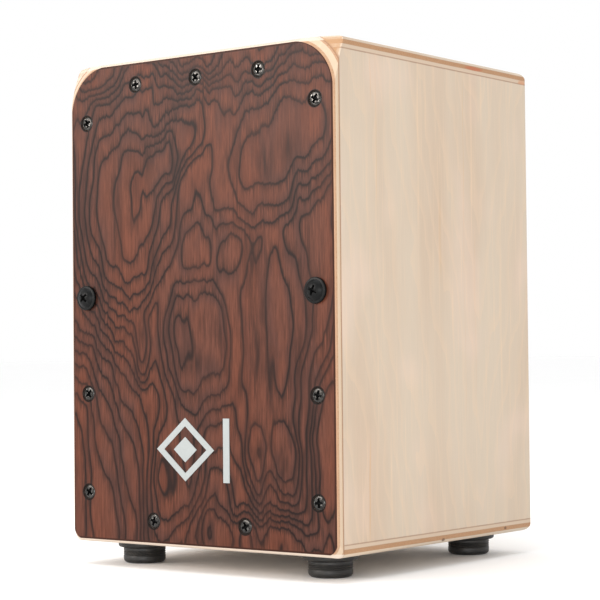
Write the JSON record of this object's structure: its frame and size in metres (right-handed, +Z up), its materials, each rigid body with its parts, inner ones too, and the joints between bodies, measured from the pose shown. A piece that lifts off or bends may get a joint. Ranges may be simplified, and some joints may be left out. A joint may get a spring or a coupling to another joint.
{
  "type": "cajon",
  "caption": "Small plywood box drum with a burl-veneered playing face, rubber feet, a rear sound hole and a screw-adjusted snare.",
  "frame": {"origin": "on the floor under the feet, at the centre of the bounding box in plan", "axes": "+Z up along the height of the box; -Y is out of the playing face; +X is to the right seen from the front"},
  "size_m": [0.148, 0.1543, 0.222],
  "materials": {
    "birch_ply": "pale birch plywood, thin satin lacquer",
    "rear_ply": "birch plywood, thin satin lacquer",
    "tapa_ply": "thin plywood, sanded edge",
    "burl_veneer": "dark red-brown burl veneer, satin lacquer",
    "silver_foil": "pale silver transfer print",
    "batten_wood": "planed softwood, bare",
    "bar_beech": "planed beech, bare",
    "black_screw": "black coated steel, satin, worn on the edges",
    "zinc_steel": "zinc-plated steel",
    "snare_steel": "bright steel wire and sheet",
    "insert_brass": "plain turned brass",
    "foot_rubber": "matt black moulded rubber"
  },
  "bodies": {
    "case": {"top_panel": "birch_ply", "bottom_panel": "birch_ply", "left_side_panel": "birch_ply", "right_side_panel": "birch_ply", "rear_panel": "rear_ply", "tapa_board": "tapa_ply", "tapa_veneer": "burl_veneer", "tapa_screws": "black_screw", "front_emblem": "silver_foil", "front_left_batten": "batten_wood", "front_right_batten": "batten_wood", "front_top_batten": "batten_wood", "front_bottom_batten": "batten_wood", "rear_left_batten": "batten_wood", "rear_right_batten": "batten_wood", "rear_top_batten": "batten_wood", "rear_bottom_batten": "batten_wood", "front_left_foot": "foot_rubber", "front_right_foot": "foot_rubber", "rear_left_foot": "foot_rubber", "rear_right_foot": "foot_rubber", "foot_washers": "zinc_steel", "foot_screws": "zinc_steel"},
    "left_adjuster": {"left_adjuster_screw": "black_screw"},
    "right_adjuster": {"right_adjuster_screw": "black_screw"},
    "snare_carriage": {"snare_bar": "bar_beech", "left_adjuster_insert": "insert_brass", "right_adjuster_insert": "insert_brass", "snare_plate": "snare_steel", "snare_plate_screws": "snare_steel", "snare_wires": "snare_steel", "snare_end_strip": "snare_steel"}
  },
  "joints": [
    {"name": "left_adjuster_turn", "type": "hinge", "parent": "case", "child": "left_adjuster", "pos_m": [-0.0637, -0.07385, 0.1185], "axis": [0, 1, 0], "range_deg": [0, 720]},
    {"name": "right_adjuster_turn", "type": "hinge", "parent": "case", "child": "right_adjuster", "pos_m": [0.0637, -0.07385, 0.1185], "axis": [0, 1, 0], "range_deg": [0, 720]},
    {"name": "snare_slide", "type": "slide", "parent": "case", "child": "snare_carriage", "axis": [0, -1, 0], "range_m": [0, 0.0016]}
  ],
  "couplings": [
    {"joint": "left_adjuster_turn", "follows": "snare_slide", "rad_per_m": 7854},
    {"joint": "right_adjuster_turn", "follows": "snare_slide", "rad_per_m": 7854}
  ]
}
